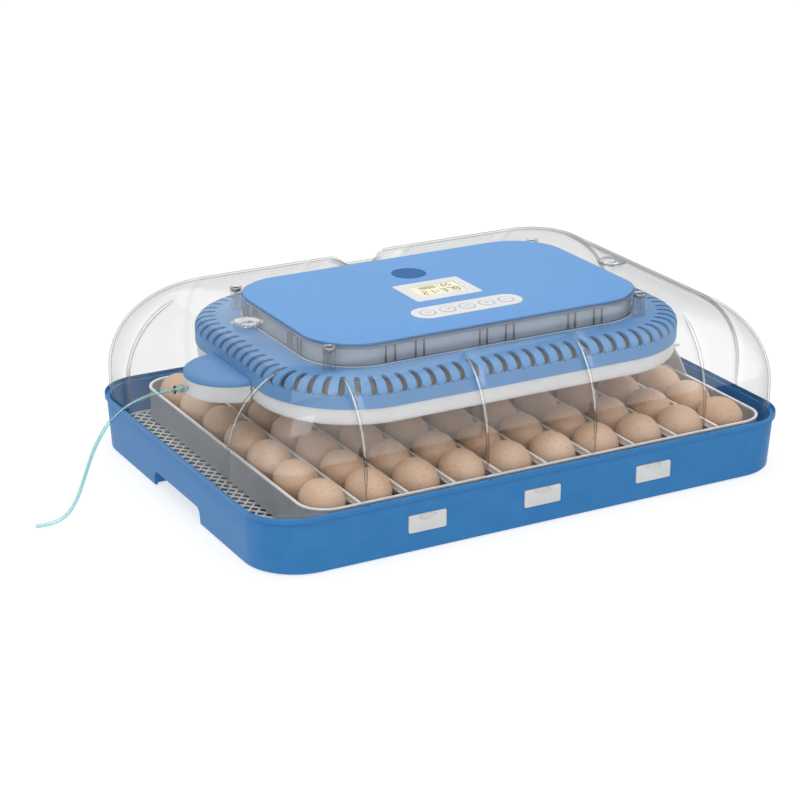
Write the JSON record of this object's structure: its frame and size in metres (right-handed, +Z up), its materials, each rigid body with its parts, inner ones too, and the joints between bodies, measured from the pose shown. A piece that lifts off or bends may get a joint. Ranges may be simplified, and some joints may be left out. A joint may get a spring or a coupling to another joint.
{
  "type": "egg incubator",
  "caption": "Tabletop poultry egg incubator with a clear domed lid, a slotted head unit, a sliding turning tray with lanes, mesh floor and water hose.",
  "frame": {"origin": "bottom centre of the bounding box, on the ground plane, with the loose hose left out", "axes": "+X along the length towards the turner end, +Y to the back, +Z up"},
  "size_m": [0.7232, 0.424, 0.1791],
  "materials": {
    "base_blue": "satin moulded",
    "panel_blue": "fine matt film",
    "head_blue": "satin moulded",
    "lamp_blue": "smooth tinted",
    "clear_plastic": "clear polished",
    "white_plastic": "satin moulded",
    "lcd_cream": "smooth",
    "tray_grey": "translucent moulded",
    "mat_white": "expanded mesh",
    "black_plastic": "moulded",
    "rubber_black": "matt",
    "steel": "bright",
    "board_green": "solder mask",
    "hose_teal": "soft clear tube"
  },
  "bodies": {
    "base": {"base_tub": "base_blue", "mesh_mat": "mat_white", "egg_floor": "mat_white", "foot_1": "rubber_black", "foot_2": "rubber_black", "foot_3": "rubber_black", "foot_4": "rubber_black"},
    "tray": {"tray_frame": "tray_grey", "tray_rack": "white_plastic", "divider_1": "white_plastic", "divider_2": "white_plastic", "divider_3": "white_plastic", "divider_4": "white_plastic", "divider_5": "white_plastic", "divider_6": "white_plastic", "divider_7": "white_plastic", "divider_8": "white_plastic", "divider_9": "white_plastic"},
    "lid": {"clear_dome": "clear_plastic", "control_panel": "panel_blue", "display_bezel": "white_plastic", "lcd_glass": "lcd_cream", "button_bezel": "white_plastic", "lamp_lens": "lamp_blue", "circuit_board": "board_green", "vent_housing": "head_blue", "lower_shell": "white_plastic", "pod_cover": "head_blue", "pod_body": "white_plastic", "hose_nipple": "tray_grey", "hose_clip": "black_plastic", "hose_grommet": "rubber_black", "fan_motor": "black_plastic", "heater_ring": "steel", "sensor_probe": "steel", "turner_motor": "steel", "power_inlet": "black_plastic", "water_pump": "black_plastic", "water_hose": "hose_teal", "screw_1": "black_plastic", "screw_2": "black_plastic", "screw_3": "black_plastic", "screw_4": "black_plastic"},
    "turner": {"drive_pinion": "white_plastic"},
    "fan": {"fan_impeller": "black_plastic"},
    "cap_left": {"vent_cap_1": "clear_plastic"},
    "cap_right": {"vent_cap_2": "clear_plastic"},
    "port_1": {"port_door_1": "white_plastic"},
    "port_2": {"port_door_2": "white_plastic"},
    "port_3": {"port_door_3": "white_plastic"},
    "key_1": {"button_1": "white_plastic"},
    "key_2": {"button_2": "white_plastic"},
    "key_3": {"button_3": "white_plastic"},
    "key_4": {"button_4": "white_plastic"},
    "key_5": {"button_5": "white_plastic"}
  },
  "joints": [
    {"name": "lid_lift", "type": "slide", "parent": "base", "child": "lid", "axis": [0, 0, 1], "range_m": [0, 0.2]},
    {"name": "tray_slide", "type": "slide", "parent": "base", "child": "tray", "axis": [1, 0, 0], "range_m": [-0.015, 0.01]},
    {"name": "pinion_turn", "type": "hinge", "parent": "lid", "child": "turner", "pos_m": [0.175, -0.015, 0.08], "axis": [0, 0, 1], "range_deg": [-38.4, 57.5]},
    {"name": "fan_spin", "type": "hinge", "parent": "lid", "child": "fan", "pos_m": [0, -0.002, 0.1225], "axis": [0, 0, 1], "continuous": true},
    {"name": "cap_left_turn", "type": "hinge", "parent": "lid", "child": "cap_left", "pos_m": [-0.212, -0.005, 0.1765], "axis": [0, 0, 1], "range_deg": [0, 90]},
    {"name": "cap_right_turn", "type": "hinge", "parent": "lid", "child": "cap_right", "pos_m": [0.204, -0.008, 0.1765], "axis": [0, 0, 1], "range_deg": [0, 90]},
    {"name": "port_1_hinge", "type": "hinge", "parent": "base", "child": "port_1", "pos_m": [-0.1275, -0.20904, 0.0211], "axis": [1, 0, 0], "range_deg": [0, 85]},
    {"name": "port_2_hinge", "type": "hinge", "parent": "base", "child": "port_2", "pos_m": [-0.0025, -0.20904, 0.0211], "axis": [1, 0, 0], "range_deg": [0, 85]},
    {"name": "port_3_hinge", "type": "hinge", "parent": "base", "child": "port_3", "pos_m": [0.124, -0.20904, 0.0211], "axis": [1, 0, 0], "range_deg": [0, 85]},
    {"name": "key_1_press", "type": "slide", "parent": "lid", "child": "key_1", "axis": [0, 0, -1], "range_m": [0, 0.0006], "stiffness_N_per_m": 500},
    {"name": "key_2_press", "type": "slide", "parent": "lid", "child": "key_2", "axis": [0, 0, -1], "range_m": [0, 0.0006], "stiffness_N_per_m": 500},
    {"name": "key_3_press", "type": "slide", "parent": "lid", "child": "key_3", "axis": [0, 0, -1], "range_m": [0, 0.0006], "stiffness_N_per_m": 500},
    {"name": "key_4_press", "type": "slide", "parent": "lid", "child": "key_4", "axis": [0, 0, -1], "range_m": [0, 0.0006], "stiffness_N_per_m": 500},
    {"name": "key_5_press", "type": "slide", "parent": "lid", "child": "key_5", "axis": [0, 0, -1], "range_m": [0, 0.0006], "stiffness_N_per_m": 500}
  ],
  "couplings": [
    {"joint": "pinion_turn", "follows": "tray_slide", "rad_per_m": -66.667}
  ]
}
